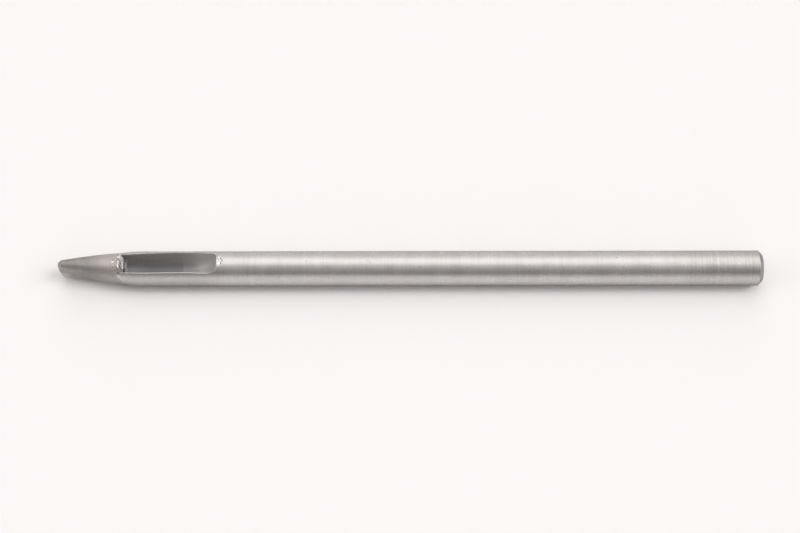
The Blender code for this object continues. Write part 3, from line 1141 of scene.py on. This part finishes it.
def floor_paper():
    s = Shading("floor_paper")
    cloud = s.noise(s.place(), scale=12.0, detail=3.0)
    grain = s.noise(s.place(), scale=2600.0, detail=2.0)
    colour = s.blend(cloud, PAPER_DARK, PAPER_LIGHT)
    gloss = s.ramp(cloud, 0.3, 0.7, 0.85, 0.95)
    s.shader.inputs["Specular IOR Level"].default_value = PAPER_SPECULAR
    return s.finish(colour, gloss, s.bump(grain, PAPER_BUMP), metallic=0.0, edge_tint=1.0)


# Studio

CAMERA_ELEVATION = math.radians(65.8)
CAMERA_DISTANCE = 0.4198
CAMERA_LENS_MM = 82.85
CAMERA_SENSOR_MM = 36.0
CAMERA_CLIP = (0.01, 20.0)
CAMERA_ROLL = math.radians(-0.09)
AIM_X = EDGE_X + 77.6 * MM
AIM_ABOVE_AXIS = 0.47 * MM

FLOOR_HALF_SIZE = 6.0
FLOOR_SHARP_ANGLE = 40

# Studio light round the punch, by tilt from straight up in degrees: below zero to the front, above it to the
# back. The middle strip is what the bar mirrors to the camera, and the two sides light the floor.
MIDDLE_SKY = [
    (-90, 0.96), (-80, 0.88), (-68, 0.60), (-58, 0.33), (-48, 0.315), (-35, 0.43), (-20, 0.575), (-8, 0.71),
    (0, 1.02), (8, 1.39), (18, 1.57), (30, 1.67), (40, 1.50), (50, 1.23), (62, 1.01), (75, 0.92), (90, 0.90),
]
SIDE_SKY = [
    (-90, 0.16), (-60, 0.20), (-40, 0.36), (-22, 0.76), (-14, 1.42), (-8, 2.45), (-2, 4.30), (3, 4.50),
    (8, 3.30), (12, 2.10), (18, 0.95), (25, 0.18), (35, 0.05), (90, 0.05),
]
SKY_PEAK = 4.5
SKY_COLOUR = (1.0, 0.976, 0.969)

# The rest is by direction along X, from -1 to 1. The strip leans away from the straight tilt in three ways:
# with the distance from the middle, on the right, and at the front.
STRIP_MIDDLE = -0.035
STRIP_HALF_WIDTH = 0.325
STRIP_EDGE = 0.12
STRIP_TILT = math.radians(2)
STRIP_TWIST = math.radians(16)
RIGHT_RANGE = (-0.05, 0.07)
RIGHT_SKEW = math.radians(5)
RIGHT_END_RANGE = (0.12, 0.185)
RIGHT_END_SKEW = math.radians(-4)
FRONT_TILTS = (math.radians(-50), math.radians(-20))
FRONT_SKEW = math.radians(7)
FRONT_MIDDLE = -0.045
FRONT_RANGE = (0.03, 0.13)

# The sides are stronger on the right, and past them both ends have a level of their own.
SIDE_GAIN_RANGE = (-0.40, 0.30)
SIDE_LEFT = 0.45
SIDE_RIGHT = 1.62
END_RANGE = (0.74, 0.92)
END_CHANGE_RANGE = (-0.5, 0.5)
LEFT_END_LEVEL = 1.25
RIGHT_END_LEVEL = 0.80


def add_floor():
    skin = Skin()
    half = FLOOR_HALF_SIZE
    corners = [(-half, -half), (half, -half), (half, half), (-half, half)]
    skin.face(skin.row([Vector((x - EDGE_X, y, -AXIS_Z)) for x, y in corners]))
    floor = skin.piece("floor", floor_paper(), FLOOR_SHARP_ANGLE)


def sky_colour(level):
    return [level / SKY_PEAK * part for part in SKY_COLOUR] + [1.0]


def sky_ramp(nodes, tilt, stops):
    """Light at a tilt from straight up."""
    place = nodes.ramp(tilt, -math.pi / 2, math.pi / 2, curve="LINEAR")
    made = nodes.node("ShaderNodeValToRGB", {0: place})
    marks = made.color_ramp.elements
    marks[1].position = 1.0
    while len(marks) < len(stops):
        marks.new(0.5)
    for mark, (degrees, _) in zip(marks, stops):
        mark.position = degrees / 180 + 0.5
    for mark, (_, level) in zip(marks, stops):
        mark.color = sky_colour(level)
    return made.outputs["Color"]


def strip_tilt(nodes, along, tilt):
    """Tilt within the middle strip, which leans away from the straight tilt."""
    leaning = nodes.math("SUBTRACT", tilt, STRIP_TILT)
    leaning = nodes.plus(leaning, nodes.math("ABSOLUTE", along), -STRIP_TWIST)
    right_skew = nodes.ramp(along, *RIGHT_END_RANGE, RIGHT_SKEW, RIGHT_END_SKEW)
    leaning = nodes.plus(leaning, nodes.ramp(along, *RIGHT_RANGE), right_skew)
    front_skew = nodes.ramp(tilt, *FRONT_TILTS, FRONT_SKEW, 0.0)
    off_middle = nodes.ramp(nodes.distance(along, FRONT_MIDDLE), *FRONT_RANGE)
    return nodes.plus(leaning, off_middle, front_skew)


def add_world():
    world = bpy.data.worlds.new("studio")
    bpy.context.scene.world = world
    world.use_nodes = True
    nodes = Nodes(world.node_tree)
    way = nodes.node("ShaderNodeSeparateXYZ", {0: nodes.node("ShaderNodeTexCoord").outputs["Generated"]})
    along = way.outputs["X"]
    tilt = nodes.math("ARCTAN2", way.outputs["Y"], way.outputs["Z"])

    middle = sky_ramp(nodes, strip_tilt(nodes, along, tilt), MIDDLE_SKY)
    side = sky_ramp(nodes, tilt, SIDE_SKY)
    off_strip = nodes.distance(along, STRIP_MIDDLE)
    beside = nodes.ramp(off_strip, STRIP_HALF_WIDTH, STRIP_HALF_WIDTH + STRIP_EDGE)
    sky = nodes.blend(beside, middle, side)
    ends = nodes.ramp(nodes.math("ABSOLUTE", along), *END_RANGE)
    to_right = nodes.ramp(along, *END_CHANGE_RANGE)
    end_light = nodes.blend(to_right, sky_colour(LEFT_END_LEVEL), sky_colour(RIGHT_END_LEVEL))
    sky = nodes.blend(ends, sky, end_light)

    gain = nodes.ramp(along, *SIDE_GAIN_RANGE, SIDE_LEFT - 1, SIDE_RIGHT - 1)
    gain = nodes.product(gain, beside, nodes.rest(ends))
    background = world.node_tree.nodes["Background"]
    nodes.join(sky, background.inputs["Color"])
    nodes.join(nodes.plus(SKY_PEAK, gain, SKY_PEAK), background.inputs["Strength"])


def look_at(obj, target, roll):
    facing = (target - obj.location).to_track_quat("-Z", "Y").to_matrix().to_4x4()
    obj.matrix_world = Matrix.Translation(obj.location) @ facing @ Matrix.Rotation(roll, 4, "Z")


def add_camera():
    data = bpy.data.cameras.new("camera")
    data.sensor_width = CAMERA_SENSOR_MM
    data.lens = CAMERA_LENS_MM
    data.clip_start, data.clip_end = CAMERA_CLIP
    obj = bpy.data.objects.new("camera", data)
    up = Vector((0.0, math.sin(CAMERA_ELEVATION), math.cos(CAMERA_ELEVATION)))
    back = Vector((0.0, -math.cos(CAMERA_ELEVATION), math.sin(CAMERA_ELEVATION)))
    target = Vector((AIM_X, 0.0, AXIS_Z)) + up * AIM_ABOVE_AXIS
    obj.location = target + back * CAMERA_DISTANCE
    bpy.context.scene.collection.objects.link(obj)
    look_at(obj, target, CAMERA_ROLL)
    bpy.context.scene.camera = obj


def build():
    pieces = (
        (build_shank(shank_steel()), "shank", "shank_steel"),
        (build_nose(nose_steel()), "cutting_nose", "nose_steel"),
        (build_weld(weld_steel()), "weld_bead", "weld_steel"),
    )
    for piece, node, slot in pieces:
        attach(piece, "root")
        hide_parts(node)
    add_floor()
    add_world()
    add_camera()
    bpy.context.scene.view_settings.view_transform = "Standard"


build()
bpy.context.view_layer.update()
